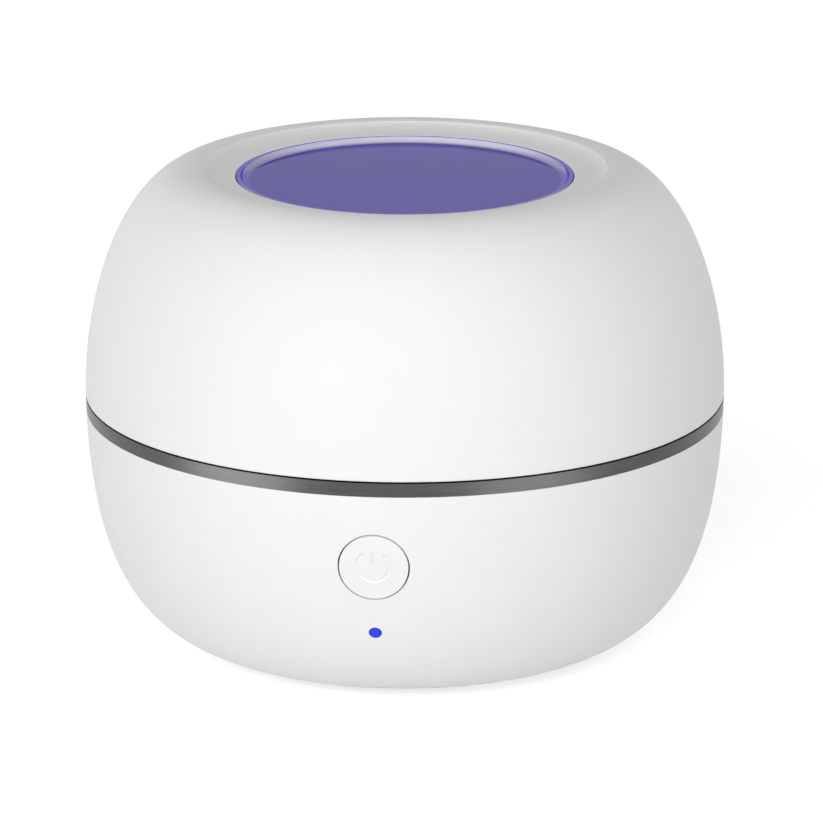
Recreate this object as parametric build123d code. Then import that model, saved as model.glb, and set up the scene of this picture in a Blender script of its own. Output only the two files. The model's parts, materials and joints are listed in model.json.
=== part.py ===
from build123d import *
import os
from math import atan2, cos, radians, sin

# A pocket steriliser for pacifiers: a round base with the ultraviolet lamps, a domed lid on a
# flush rear hinge, a push button and a status light at the front, and a charging port behind.
# All sizes are millimetres. The origin is the centre of the foot's resting face, Z points up,
# and the button faces -Y.

# Outer form
body_radius = 45.0
base_flat_radius = 26.0
lower_rise = 35.3
upper_rise = 31.5
crest_radius = 29.4
bottom_pull = 0.672
lower_side_pull = 0.657
upper_side_pull = 0.474
crest_pull = 0.589
foot_height = 0.8
shell_wall = 2.0

# Parting line and trim band
base_height = 32.6
band_height = 1.9
band_gap = 0.17
band_width = 6.6
lid_edge_radius = 0.3
band_pin_radius = 0.8
band_pin_inset = 3.8
band_pin_count = 6
band_pin_clear_angle = 40.0
band_pin_gap = 0.1

# Dish and window in the top
dish_depth = 1.2
dish_crease_radius = 28.2
dish_crease_depth = 0.1
dish_roll_width = 0.5
dish_wall_width = 0.45
dish_wall_height = 0.55
dish_flat_width = 2.4
window_lip_radius = 0.25
window_radius = 23.5
window_gap = 0.12
lens_flange_thickness = 1.2
lens_flange_width = 2.0
land_margin = 0.8
lens_edge_radius = 0.15
lens_rim_width = 0.6
lens_cove_width = 1.0
lens_cove_depth = 0.75
viewing_radius = 20.5

# Hinge
hinge_inset = 2.0
barrel_radius = 1.9
hinge_pin_radius = 0.75
hinge_half_width = 13.6
knuckle_count = 5
knuckle_gap = 0.3
notch_gap = 0.35
bed_wall = 1.6
bed_gap = 0.2
lid_wall_sweep = 1.15
arm_back_width = 0.9
arm_root_length = 0.6
pin_fit = 0.05

# Bottom cover and foot
cover_overlap_width = 2.7
cover_gap = 0.2
cover_thickness = 1.8
cover_ledge_width = 3.4
cover_ledge_thickness = 1.6
foot_inset = 8.1
foot_width = 3.0
foot_groove_depth = 1.0

# Screws, with the boss that each one goes into
screw_radius = 0.9
screw_head_radius = 1.7
screw_hole_gap = 0.1
screw_head_height = 1.0
screw_length = 5.0
screw_boss_radius = 2.3
small_screw_radius = 0.7
small_head_radius = 1.25
small_head_height = 0.8
small_screw_length = 3.0
small_boss_radius = 1.6
cover_screw_inset = 3.5
cover_boss_clearance = 1.0
hole_end_wall = 1.0
cover_screw_count = 4
cover_screw_angle = 30.0
board_screw_count = 3
board_screw_angle = 165.0
board_screw_step = 90.0

# Chamber bowl and rack
chamber_inset = 12.0
chamber_floor_height = 15.4
chamber_floor_radius = 17.0
bowl_wall = 1.2
bowl_flange_thickness = 1.4
ledge_width = 4.5
rack_seat_height = 19.2
rack_seat_inset = 2.6
rack_seat_width = 1.6
rack_ring_width = 2.0
rack_thickness = 2.0
rack_bar_width = 1.8
rack_bar_count = 6
rack_gap = 0.3

flange_gap = 0.3
chamber_corner_width = 4.0
chamber_corner_height = 1.0

# Lamps under the quartz window
quartz_radius = 10.0
quartz_gap = 0.1
quartz_thickness = 1.0
quartz_rest_width = 1.2
quartz_ledge_thickness = 0.8
lamp_board_radius = 12.6
lamp_board_thickness = 1.2
lamp_board_screw_count = 3
lamp_board_screw_angle = 30.0
lamp_width = 3.5
lamp_height = 1.0
lamp_circle = 5.2
lamp_count = 3
ultraviolet_lamp_angle = 90.0
violet_lamp_angle = 30.0
lamp_clearance = 0.6
lamp_case_share = 0.6
lamp_lens_share = 0.36
link_length = 6.0
link_width = 2.5

# Main board and its parts
board_thickness = 1.0
board_clearance = 0.9
board_screw_outset = 1.4
board_edge_width = 2.9
board_tongue_width = 13.0
board_tongue_inset = 4.6
control_chip_width = 6.0
control_chip_height = 0.9
inductor_width = 5.0
inductor_height = 2.2
chip_part_length = 2.0
chip_part_width = 1.2
chip_part_height = 0.8
chip_part_count = 5
parts_inset = 11.5
parts_back_offset = 8.0
chip_row_offset = 4.0

# Charging port
port_width = 8.94
port_height = 3.26
port_depth = 7.4
port_back_wall = 1.0
port_wall = 0.3
port_slot_gap = 0.25
port_inset = 0.9
port_tongue_width = 6.6
port_tongue_height = 0.7
port_tongue_inset = 1.0
port_recess_width = 12.4
port_recess_height = 6.6

# Battery
battery_length = 34.0
battery_width = 20.0
battery_height = 4.6
battery_pad_thickness = 0.6
battery_pad_inset = 1.5
fence_wall = 1.0
fence_height = 2.0
fence_gap = 0.3
lead_radius = 0.5
lead_spacing = 2.0
lead_reach_length = 5.4
lead_straight_share = 0.35
lead_clearance = 0.3
socket_offset = 6.0
socket_length = 4.0
socket_width = 5.6
socket_height = 3.4

# Button, its switch and the status light
button_rim_distance = 10.1
button_radius = 4.62
button_gap = 0.22
button_skin_thickness = 1.2
button_skirt_width = 0.9
button_flange_width = 0.7
button_flange_thickness = 0.7
button_flange_clearance = 0.75
button_stem_radius = 1.2
button_stem_length = 1.0
button_travel_length = 0.5
plunger_radius = 1.0
plunger_length = 0.8
plunger_gap = 0.1
switch_width = 4.6
switch_height = 1.7
button_board_width = 19.0
button_board_upper_length = 5.6
button_board_lower_length = 11.0
button_board_thickness = 1.0
button_boss_offset = 7.7
light_button_distance = 9.9
light_pipe_radius = 0.85
light_pipe_gap = 0.05
status_lamp_width = 1.8
status_lamp_height = 0.8
status_lamp_gap = 0.2
sensor_width = 3.0
sensor_height = 1.6
sensor_depth = 1.0
ribbon_width = 6.0
ribbon_thickness = 0.3
ribbon_grip_length = 6.0
ribbon_hang_length = 1.0
ribbon_slope_length = 3.5
ribbon_landing_length = 7.5
ribbon_bend_radius = 1.5

# Lid liner, seal and catch
liner_side_inset = 7.0
liner_wall = 1.2
liner_flange_thickness = 1.2
liner_lift_height = 0.6
liner_screw_count = 4
liner_screw_angle = 45.0
seal_inset = 8.8
seal_width = 2.0
seal_clearance = 0.25
seal_lip_share = 0.4
liner_boss_wall = 0.9
liner_boss_height = 6.0
catch_inset = 4.8
catch_radius = 1.9
catch_gap = 0.1
magnet_height = 2.0

# Heights and places that follow from the sizes above
shell_bottom = foot_height
widest_height = shell_bottom + lower_rise
crest_height = widest_height + upper_rise
rim_height = shell_bottom + base_height
lid_bottom = rim_height + band_height + band_gap
hinge_y = body_radius - hinge_inset
hinge_z = lid_bottom
notch_radius = barrel_radius + lid_wall_sweep + notch_gap
bed_front = hinge_y - notch_radius - bed_gap
rim_clear_front = bed_front - bed_gap
cover_top = shell_bottom + cover_thickness
ledge_top = rim_height - bowl_flange_thickness
inner_radius = body_radius - shell_wall
ledge_inner_radius = inner_radius - ledge_width
flange_radius = inner_radius - flange_gap
lens_seat = crest_height - dish_depth - shell_wall
liner_top = dish_depth + shell_wall + lens_flange_thickness
liner_underside = lid_bottom + liner_lift_height
liner_boss_radius = small_boss_radius + liner_boss_wall
lid_boss_circle = inner_radius - liner_boss_radius + bed_gap
floor_top = shell_bottom + chamber_floor_height
rack_seat = shell_bottom + rack_seat_height
quartz_bottom = floor_top - quartz_thickness
lamp_board_top = quartz_bottom - lamp_clearance - lamp_height
lamp_board_bottom = lamp_board_top - lamp_board_thickness
battery_bottom = cover_top + battery_pad_thickness
board_bottom = battery_bottom + battery_height + board_clearance
board_top = board_bottom + board_thickness
port_middle = board_top + port_height / 2
band_inner_radius = body_radius - band_width
band_pin_circle = body_radius - band_pin_inset
chamber_radius = body_radius - chamber_inset
rack_seat_radius = chamber_radius - rack_seat_inset
cover_radius = base_flat_radius + cover_overlap_width
cover_screw_circle = cover_radius - cover_screw_inset
cover_boss_top = board_bottom - cover_boss_clearance
board_screw_circle = cover_screw_circle + board_screw_outset
board_radius = board_screw_circle + board_edge_width
parts_offset = board_radius - parts_inset
foot_radius = cover_radius - foot_inset
seal_radius = body_radius - seal_inset
catch_circle = body_radius - catch_inset
button_height = base_height - button_rim_distance
light_height = button_height - light_button_distance
everything = 2 * body_radius
tight_fit = 0.02
overcut = 1.0


def point(radius, height):
    """A point of a half section, at a radius from the axis and a height."""
    return (radius, 0, height)


def lower_curve(side, end):
    """The body's outline from the flat bottom out and up to the widest ring."""
    run = body_radius - side - base_flat_radius
    rise = lower_rise - end
    start = shell_bottom + end
    edge = base_flat_radius + run
    return Bezier(
        point(base_flat_radius, start),
        point(base_flat_radius + bottom_pull * run, start),
        point(edge, widest_height - lower_side_pull * rise),
        point(edge, widest_height),
    )


def upper_curve(side, end):
    """The body's outline from the widest ring up and in to the crest."""
    run = body_radius - side - crest_radius
    rise = upper_rise - end
    edge = crest_radius + run
    top = crest_height - end
    return Bezier(
        point(edge, widest_height),
        point(edge, widest_height + upper_side_pull * rise),
        point(crest_radius + crest_pull * run, top),
        point(crest_radius, top),
    )


def turned(*lines):
    """A solid of revolution about Z from the closed half section that the lines bound."""
    return revolve(make_face(lines), axis=Axis.Z, revolution_arc=360)


def body_form(side=0.0, end=0.0):
    """The whole closed body, drawn in by one amount at the side and another at the ends."""
    low = shell_bottom + end
    high = crest_height - end
    bottom = Line(point(0, low), point(base_flat_radius, low))
    top = Line(point(crest_radius, high), point(0, high))
    middle = Line(point(0, high), point(0, low))
    return turned(bottom, lower_curve(side, end), upper_curve(side, end), top, middle)


def disc(radius, low, high):
    """A round plate on the axis between two heights."""
    return Pos(0, 0, low) * Cylinder(radius, high - low, align=(Align.CENTER, Align.CENTER, Align.MIN))


def ring(outer, inner, low, high):
    """A flat ring on the axis between two heights."""
    return disc(outer, low, high) - disc(inner, low - overcut, high + overcut)


def block(width, depth, low, high):
    """A rectangular block on the axis between two heights."""
    return Pos(0, 0, low) * Box(width, depth, high - low, align=(Align.CENTER, Align.CENTER, Align.MIN))


def around(radius, count, start=0.0, step=None):
    """Places on a circle, counted from an angle, evenly spaced unless a step is given."""
    turn = 360 / count if step is None else step
    angles = [radians(start + turn * index) for index in range(count)]
    return [Pos(radius * cos(angle), radius * sin(angle), 0) for angle in angles]


def copies(places, piece):
    """The same piece at each place, as one group of separate solids."""
    return Compound(children=[place * piece for place in places])


def join(body, pieces):
    """The body with each piece fused to it."""
    for piece in pieces:
        body = body + piece
    return body


def cut(body, pieces):
    """The body with each piece cut from it."""
    for piece in pieces:
        body = body - piece
    return body


def side_point(height):
    """Radius and downward lean of the outer face, at a height above the shell's bottom."""
    outline = lower_curve(0, 0)
    low = 0.0
    high = 1.0
    for halving in range(40):
        middle = (low + high) / 2
        if (outline @ middle).Z < shell_bottom + height:
            low = middle
        else:
            high = middle
    slope = outline % low
    return (outline @ low).X, atan2(slope.X, slope.Z)


def face_plane(height):
    """A plane on the front face whose own Z runs into the body, square to the skin."""
    radius, lean = side_point(height)
    return Plane(
        origin=(0, -radius, shell_bottom + height),
        x_dir=(1, 0, 0),
        z_dir=(0, cos(lean), sin(lean)),
    )


button_plane = face_plane(button_height)
light_plane = face_plane(light_height)

# Depths behind the skin along the button's axis
button_flange_start = shell_wall + button_flange_clearance
button_stem_start = button_flange_start + button_flange_thickness
plunger_start = button_stem_start + button_stem_length
switch_start = plunger_start + plunger_length
button_board_start = switch_start + switch_height


# Hinge

def knuckle_width():
    """Width of one knuckle, from the hinge's width and the gaps between knuckles."""
    return (2 * hinge_half_width - (knuckle_count + 1) * knuckle_gap) / knuckle_count


def across(radius, length):
    """A bar along the hinge axis, centred on the body."""
    return Pos(0, hinge_y, hinge_z) * Rot(0, 90, 0) * Cylinder(radius, length)


def knuckles(first, direction):
    """Every other barrel with the arm that joins it, down to the base or up to the lid."""
    width = knuckle_width()
    arm_depth = barrel_radius + arm_back_width
    arm_length = notch_radius + arm_root_length
    pieces = []
    for index in range(first, knuckle_count, 2):
        place = Pos((index - (knuckle_count - 1) / 2) * (width + knuckle_gap), 0, 0)
        arm = Box(width, arm_depth, arm_length, align=(Align.CENTER, Align.MIN, Align.MIN))
        if direction < 0:
            arm = Pos(0, 0, -arm_length) * arm
        pieces.append(place * across(barrel_radius, width))
        pieces.append(place * Pos(0, hinge_y - barrel_radius, hinge_z) * arm)
    return pieces


def hinge_bed(low, high):
    """The block inside a shell's rear wall that the knuckles stand on."""
    depth = body_radius - bed_front
    width = 2 * (hinge_half_width + bed_wall)
    bed = Pos(0, bed_front + depth / 2, 0) * block(width, depth, low, high)
    return bed & body_form(shell_wall / 2, shell_wall / 2)


def hinge_notch():
    """The round recess that both shells leave about the hinge axis."""
    return across(notch_radius, 2 * hinge_half_width)


def hinge_pin():
    """Steel pin through all the knuckles."""
    return across(hinge_pin_radius, 2 * hinge_half_width - 2 * knuckle_gap)


# Base shell

def cover_screw_places():
    return around(cover_screw_circle, cover_screw_count, cover_screw_angle)


def board_screw_places():
    return around(board_screw_circle, board_screw_count, board_screw_angle, board_screw_step)


def button_boss_places():
    return [Pos(side * button_boss_offset, 0, 0) for side in (-1, 1)]


def base_supports():
    """Ledges and bosses inside the base shell, trimmed to stay within the wall."""
    cover_ledge = ring(
        cover_radius + cover_ledge_width,
        cover_screw_circle,
        cover_top,
        cover_top + cover_ledge_thickness,
    )
    rim_ledge = ring(body_radius, ledge_inner_radius, ledge_top - bed_wall, ledge_top)
    cover_boss = disc(screw_boss_radius, cover_top, cover_boss_top)
    board_boss = disc(screw_boss_radius, cover_top, board_bottom)
    button_boss = disc(small_boss_radius, shell_wall / 2, button_board_start)
    pieces = [cover_ledge, rim_ledge]
    pieces += [place * cover_boss for place in cover_screw_places()]
    pieces += [place * board_boss for place in board_screw_places()]
    pieces += [button_plane * place * button_boss for place in button_boss_places()]
    inside = body_form(shell_wall / 2, 0)
    return [piece & inside for piece in pieces]


def base_holes():
    """Screw holes, pin holes and the openings for the button, the light and the port."""
    cover_hole = disc(screw_radius + tight_fit, 0, cover_boss_top - hole_end_wall)
    board_hole = disc(screw_radius + tight_fit, cover_top + hole_end_wall, board_top)
    button_board_hole = disc(small_screw_radius + tight_fit, shell_wall, button_board_start + overcut)
    pin_hole = disc(band_pin_radius + tight_fit, ledge_top - 2 * bed_wall, rim_height)
    pieces = [place * cover_hole for place in cover_screw_places()]
    pieces += [place * board_hole for place in board_screw_places()]
    pieces += [button_plane * place * button_board_hole for place in button_boss_places()]
    pieces += [place * pin_hole for place in band_pin_places()]
    pieces.append(button_plane * disc(button_radius + button_gap, -everything, button_flange_start))
    pieces.append(light_plane * disc(light_pipe_radius + light_pipe_gap, -everything, 2 * shell_wall))
    pieces.append(port_opening())
    return pieces


def port_face():
    """Where the port's mouth stands, behind the skin at the port's height."""
    radius, lean = side_point(port_middle - shell_bottom)
    return radius - port_inset


def rear_slot(width, height, start, end):
    """A round-ended bar along Y at the port's height."""
    section = Plane(origin=(0, start, port_middle), x_dir=(-1, 0, 0), z_dir=(0, 1, 0))
    return extrude(section * SlotOverall(width, height), amount=end - start)


def port_opening():
    """The slot for the plug, with a flat recess in the curved skin around it."""
    width = port_width + 2 * port_slot_gap
    height = port_height + 2 * port_slot_gap
    slot = rear_slot(width, height, port_face() - port_depth, everything)
    recess = rear_slot(port_recess_width, port_recess_height, port_face() + tight_fit, everything)
    return slot + recess


def base_shell():
    """The lower half of the body, open at the rim and closed below by the cover."""
    body = body_form() & disc(everything, 0, rim_height)
    body = body - (body_form(shell_wall, shell_wall) & disc(everything, 0, rim_height + overcut))
    body = body - disc(cover_radius + cover_gap, 0, cover_top)
    body = body - disc(cover_screw_circle, 0, cover_top + cover_ledge_thickness)
    body = join(body, base_supports())
    body = body + hinge_bed(ledge_top - bed_wall, rim_height)
    body = body - hinge_notch()
    body = cut(body, base_holes())
    body = join(body, knuckles(0, -1))
    return body - across(hinge_pin_radius + tight_fit, everything)


# Trim band round the rim

def band_pin_places():
    """Pins round the rim, leaving the hinge free."""
    step = (360 - 2 * band_pin_clear_angle) / (band_pin_count - 1)
    return around(band_pin_circle, band_pin_count, 90 + band_pin_clear_angle, step)


def rear_gap(half_width, front):
    """A block that clears the hinge out of a rim piece."""
    return Pos(0, front + body_radius / 2, 0) * block(2 * half_width, body_radius, 0, crest_height)


def trim_band():
    """Dark ring flush with both shells, pinned through the bowl's flange to the base."""
    band = body_form() & ring(everything, band_inner_radius, rim_height, rim_height + band_height)
    band = band - rear_gap(hinge_half_width + band_gap, band_inner_radius - band_width / 2)
    pin = disc(band_pin_radius, ledge_top - bed_wall, rim_height + tight_fit)
    return join(band, [place * pin for place in band_pin_places()])


# Bottom cover and foot

def bottom_cover():
    """Round plate under the base, with screw recesses and a groove for the foot."""
    cover = body_form() & disc(cover_radius, shell_bottom, cover_top)
    groove_top = shell_bottom + foot_groove_depth
    groove = ring(foot_radius + foot_width / 2, foot_radius - foot_width / 2, 0, groove_top)
    recess = disc(screw_head_radius + 2 * screw_hole_gap, 0, shell_bottom + screw_head_height)
    hole = disc(screw_radius + screw_hole_gap, 0, cover_top + overcut)
    length = battery_length + 2 * fence_gap
    width = battery_width + 2 * fence_gap
    fence = block(length + 2 * fence_wall, width + 2 * fence_wall, cover_top, cover_top + fence_height)
    fence = fence - block(length, width, cover_top - overcut, cover_top + fence_height + overcut)
    cover = cover - groove + fence
    return cut(cover, [place * (recess + hole) for place in cover_screw_places()])


def foot_ring():
    """Soft ring in the cover's groove, with a rounded resting edge."""
    outer = foot_radius + foot_width / 2
    inner = foot_radius - foot_width / 2
    foot = ring(outer - tight_fit, inner + tight_fit, 0, shell_bottom + foot_groove_depth)
    low_edges = foot.edges().filter_by(GeomType.CIRCLE).group_by(Axis.Z)[0]
    return fillet(low_edges, foot_height / 2)


def screw(head_radius, head_height, radius, length):
    """A plain screw standing on its head, which starts at height zero."""
    return disc(head_radius, 0, head_height) + disc(radius, 0, length)


def cover_screws():
    """Screws that hold the bottom cover, heads sunk in it."""
    piece = screw(screw_head_radius, screw_head_height, screw_radius, screw_length)
    return copies([Pos(0, 0, shell_bottom) * place for place in cover_screw_places()], piece)


# Chamber

def chamber_space(grow):
    """The space of the chamber, or the bowl's outside when it is grown by the wall."""
    floor = floor_top - grow
    seat = rack_seat - grow
    seat_inner = rack_seat_radius + grow
    seat_outer = rack_seat_radius + rack_seat_width + grow
    corner = Bezier(
        point(chamber_floor_radius, floor),
        point(seat_inner - chamber_corner_width, floor),
        point(seat_inner, floor + chamber_corner_height),
        point(seat_inner, seat),
    )
    return turned(
        Line(point(0, floor), point(chamber_floor_radius, floor)),
        corner,
        Polyline(
            point(seat_inner, seat),
            point(seat_outer, seat),
            point(chamber_radius + grow, rim_height),
            point(0, rim_height),
            point(0, floor),
        ),
    )


def lamp_board_screw_places():
    return around(lamp_board_radius - small_boss_radius, lamp_board_screw_count, lamp_board_screw_angle)


def chamber_bowl():
    """Mirror-plated bowl that hangs by its flange in the base."""
    flange = disc(flange_radius, ledge_top, rim_height)
    flange = flange - rear_gap(everything, rim_clear_front)
    boss = disc(small_boss_radius, lamp_board_top, floor_top - bowl_wall / 2)
    screw_hole = disc(small_screw_radius + tight_fit, 0, floor_top - bowl_wall)
    bowl = chamber_space(bowl_wall) + flange
    seat_low = quartz_bottom - quartz_ledge_thickness
    bowl = bowl + disc(quartz_radius + quartz_rest_width, seat_low, floor_top - bowl_wall / 2)
    bowl = join(bowl, [place * boss for place in lamp_board_screw_places()])
    bowl = bowl - chamber_space(0)
    bowl = bowl - disc(quartz_radius + quartz_gap, quartz_bottom, floor_top + overcut)
    bowl = bowl - disc(quartz_radius - quartz_rest_width, 0, floor_top)
    bowl = cut(bowl, [place * screw_hole for place in lamp_board_screw_places()])
    pin_hole = disc(band_pin_radius + band_pin_gap, 0, rim_height + overcut)
    bowl = cut(bowl, [place * pin_hole for place in band_pin_places()])
    return bowl - catch_place() * disc(catch_radius + catch_gap, 0, rim_height + overcut)


def catch_place():
    """Front of the rim, where the magnet in the lid meets the steel plate in the base."""
    return Pos(0, -catch_circle, 0)


def latch_plate():
    """Steel disc under the trim band that the lid's magnet holds on to."""
    return catch_place() * disc(catch_radius, ledge_top, rim_height)


def quartz_window():
    """Clear disc in the bowl's floor that lets the ultraviolet light through."""
    return disc(quartz_radius, quartz_bottom, floor_top)


def lamp_board():
    """Aluminium board that carries the lamps and draws their heat away."""
    board = disc(lamp_board_radius, lamp_board_bottom, lamp_board_top)
    hole = disc(small_screw_radius + screw_hole_gap, 0, floor_top)
    return cut(board, [place * hole for place in lamp_board_screw_places()])


def lamp_board_screws():
    """Screws that hold the lamp board up to the bowl."""
    piece = screw(small_head_radius, small_head_height, small_screw_radius, small_screw_length)
    start = Pos(0, 0, lamp_board_bottom - small_head_height)
    return copies([start * place for place in lamp_board_screw_places()], piece)


def lamps(start):
    """Square lamp packages on a circle on the lamp board."""
    case_top = lamp_board_top + lamp_height * lamp_case_share
    package = block(lamp_width, lamp_width, lamp_board_top, case_top)
    lens = disc(lamp_width * lamp_lens_share, lamp_board_top, lamp_board_top + lamp_height)
    return copies(around(lamp_circle, lamp_count, start), package + lens)


def board_link():
    """Plug block between the main board and the lamp board."""
    return block(link_length, link_width, board_top, lamp_board_bottom)


# Main board

def main_board():
    """Round circuit board with a tongue at the rear that carries the port."""
    board = disc(board_radius, board_bottom, board_top)
    reach = port_face() - board_tongue_inset
    tongue = Pos(0, reach / 2, 0) * block(board_tongue_width, reach, board_bottom, board_top)
    hole = disc(screw_radius + screw_hole_gap, 0, board_top + overcut)
    return cut(board + tongue, [place * hole for place in board_screw_places()])


def main_board_screws():
    """Screws that hold the main board on the base shell's bosses."""
    piece = Rot(180, 0, 0) * screw(screw_head_radius, screw_head_height, screw_radius, screw_length)
    start = Pos(0, 0, board_top + screw_head_height)
    return copies([start * place for place in board_screw_places()], piece)


def control_chip():
    """Square controller chip."""
    chip = block(control_chip_width, control_chip_width, board_top, board_top + control_chip_height)
    return Pos(-parts_offset, parts_back_offset, 0) * chip


def boost_inductor():
    """Power coil in its square case."""
    case = block(inductor_width, inductor_width, board_top, board_top + inductor_height)
    case = chamfer(case.edges().filter_by(Axis.Z), inductor_width / 8)
    return Pos(parts_offset, parts_back_offset, 0) * case


def chip_parts():
    """A row of small parts on the main board."""
    part = block(chip_part_length, chip_part_width, board_top, board_top + chip_part_height)
    spacing = 2 * chip_part_width
    rows = [-chip_row_offset - spacing * index for index in range(chip_part_count)]
    places = [Pos(parts_offset, row, 0) for row in rows]
    return copies(places, part)


# Charging port

def port_shell():
    """Steel shell of the charging socket, open to the rear."""
    mouth = port_face()
    shell = rear_slot(port_width, port_height, mouth - port_depth, mouth)
    inside = rear_slot(
        port_width - 2 * port_wall,
        port_height - 2 * port_wall,
        mouth - port_depth + port_wall,
        mouth + overcut,
    )
    return shell - inside


def port_tongue():
    """Plastic insert of the socket: a plug at the back with the contact tongue."""
    mouth = port_face()
    back = rear_slot(
        port_width - 2 * port_wall,
        port_height - 2 * port_wall,
        mouth - port_depth + port_wall,
        mouth - port_depth + 2.2,
    )
    start = mouth - port_depth + port_back_wall
    length = mouth - port_tongue_inset - start
    middle = Pos(0, start + length / 2, port_middle)
    return back + middle * Box(port_tongue_width, length, port_tongue_height)


# Battery

def battery_cell():
    """Flat pouch cell with rounded long edges."""
    cell = block(battery_length, battery_width, battery_bottom, battery_bottom + battery_height)
    return fillet(cell.edges().filter_by(Axis.X), battery_height / 3)


def battery_pad():
    """Foam pad under the cell."""
    length = battery_length - 2 * battery_pad_inset
    width = battery_width - 2 * battery_pad_inset
    return block(length, width, cover_top, battery_bottom)


def battery_socket():
    """Socket for the battery's leads, under the main board."""
    place = Pos(battery_length / 2 + lead_reach_length + socket_length / 2, socket_offset, 0)
    return place * block(socket_length, socket_width, board_bottom - socket_height, board_bottom)


def battery_leads():
    """Two short wires that rise from the cell's end into the socket's face."""
    start = battery_length / 2
    end = start + lead_reach_length
    low = cover_top + fence_height + lead_radius + lead_clearance
    high = board_bottom - socket_height / 2
    route = FilletPolyline(
        (start, 0, low),
        (start + lead_reach_length * lead_straight_share, 0, low),
        (end - lead_reach_length * lead_straight_share, 0, high),
        (end, 0, high),
        radius=2 * lead_radius,
    )
    wire = sweep(Plane(origin=route @ 0, z_dir=route % 0) * Circle(lead_radius), path=route)
    sides = [socket_offset - lead_spacing / 2, socket_offset + lead_spacing / 2]
    return copies([Pos(0, side, 0) for side in sides], wire)


# Button and status light

def button_cap():
    """Cap whose face continues the body's skin, with a skirt, a stop flange and a stem."""
    cap = disc(button_radius, -everything, button_flange_start)
    cap = cap - disc(button_radius - button_skirt_width, button_skin_thickness, button_flange_start)
    flange = disc(button_radius + button_flange_width, button_flange_start, button_stem_start)
    stem = disc(button_stem_radius, button_skin_thickness / 2, plunger_start)
    return (button_plane * (cap + flange + stem)) & body_form()


def switch_plunger():
    """Moving pin of the switch, under the button's stem."""
    return button_plane * disc(plunger_radius, plunger_start, switch_start + button_travel_length)


def tact_switch():
    """Switch body with the bore that its plunger sinks into."""
    body = block(switch_width, switch_width, switch_start, button_board_start)
    bore_end = switch_start + 2 * button_travel_length + plunger_gap
    bore = disc(plunger_radius + plunger_gap, switch_start - overcut, bore_end)
    return button_plane * (body - bore)


def button_board():
    """Small board behind the front wall for the switch, the lamp and the lid sensor."""
    height = button_board_upper_length + button_board_lower_length
    middle = Pos(0, (button_board_lower_length - button_board_upper_length) / 2, 0)
    end = button_board_start + button_board_thickness
    board = middle * block(button_board_width, height, button_board_start, end)
    hole = disc(small_screw_radius + screw_hole_gap, 0, end + overcut)
    return button_plane * cut(board, [place * hole for place in button_boss_places()])


def button_board_screws():
    """Screws that hold the button board to the bosses of the front wall."""
    piece = screw(small_head_radius, small_head_height, small_screw_radius, small_screw_length)
    piece = Rot(180, 0, 0) * piece
    head = button_board_start + button_board_thickness + small_head_height
    places = [Pos(0, 0, head) * place for place in button_boss_places()]
    return button_plane * copies(places, piece)


def light_reach():
    """Length from the skin along the light's axis to the button board's face, and where it lands."""
    start = light_plane.origin
    along = light_plane.z_dir
    board_point = button_plane.origin + button_plane.z_dir * button_board_start
    length = (board_point - start).dot(button_plane.z_dir) / along.dot(button_plane.z_dir)
    landing = start + along * length
    below = (landing - board_point).dot(button_plane.y_dir)
    return length, below


def light_pipe():
    """Clear blue rod that carries the status lamp's light to the skin."""
    length, below = light_reach()
    end = length - status_lamp_height - status_lamp_gap - light_pipe_radius / 2
    rod = disc(light_pipe_radius, -everything, end)
    return (light_plane * rod) & body_form()


def status_lamp():
    """Lamp on the button board behind the light pipe."""
    length, below = light_reach()
    low = button_board_start - status_lamp_height
    lamp = block(status_lamp_width, status_lamp_width, low, button_board_start)
    return button_plane * Pos(0, below, 0) * lamp


def lid_sensor():
    """Sensor near the rim that feels the lid's magnet."""
    part = block(sensor_width, sensor_height, button_board_start - sensor_depth, button_board_start)
    return button_plane * Pos(0, sensor_height - button_board_upper_length, 0) * part


def button_ribbon():
    """Flat ribbon from the button board's back down to the main board."""
    back = button_board_start + button_board_thickness + ribbon_thickness / 2
    top = button_plane.from_local_coords((0, button_board_lower_length - ribbon_grip_length, back))
    low = button_plane.from_local_coords((0, button_board_lower_length + ribbon_hang_length, back))
    floor = board_top + ribbon_thickness / 2
    route = FilletPolyline(
        (0, top.Y, top.Z),
        (0, low.Y, low.Z),
        (0, low.Y + ribbon_slope_length, floor),
        (0, low.Y + ribbon_slope_length + ribbon_landing_length, floor),
        radius=ribbon_bend_radius,
    )
    section = Plane(origin=route @ 0, x_dir=(1, 0, 0), z_dir=route % 0)
    return sweep(section * Rectangle(ribbon_width, ribbon_thickness), path=route)


# Lid

def window_land():
    """Thickening round the window that the lens's flange seats against."""
    land_radius = window_radius + window_gap + lens_flange_width + land_margin
    underside = crest_height - shell_wall
    return turned(
        Polyline(
            point(0, lens_seat),
            point(land_radius, lens_seat),
            point(crest_radius, underside),
            point(0, underside),
            close=True,
        )
    )


def dish():
    """What the shallow dish takes away from the top, from the crest down to the window."""
    above = crest_height + overcut
    edge = window_radius + window_gap
    floor = crest_height - dish_depth
    crease = crest_height - dish_crease_depth
    lip = Bezier(
        point(edge, floor - window_lip_radius),
        point(edge, floor),
        point(edge + window_lip_radius, floor),
    )
    sweep_up = Bezier(
        point(edge + window_lip_radius, floor),
        point(edge + dish_flat_width, floor),
        point(dish_crease_radius - dish_wall_width, crease - dish_wall_height),
        point(dish_crease_radius, crease),
    )
    roll = Bezier(
        point(dish_crease_radius, crease),
        point(dish_crease_radius + dish_roll_width, crest_height),
        point(crest_radius, crest_height),
    )
    return turned(
        Polyline(
            point(0, above),
            point(0, floor - window_lip_radius),
            point(edge, floor - window_lip_radius),
        ),
        lip,
        sweep_up,
        roll,
        Polyline(point(crest_radius, crest_height), point(crest_radius, above), point(0, above)),
    )


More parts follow.
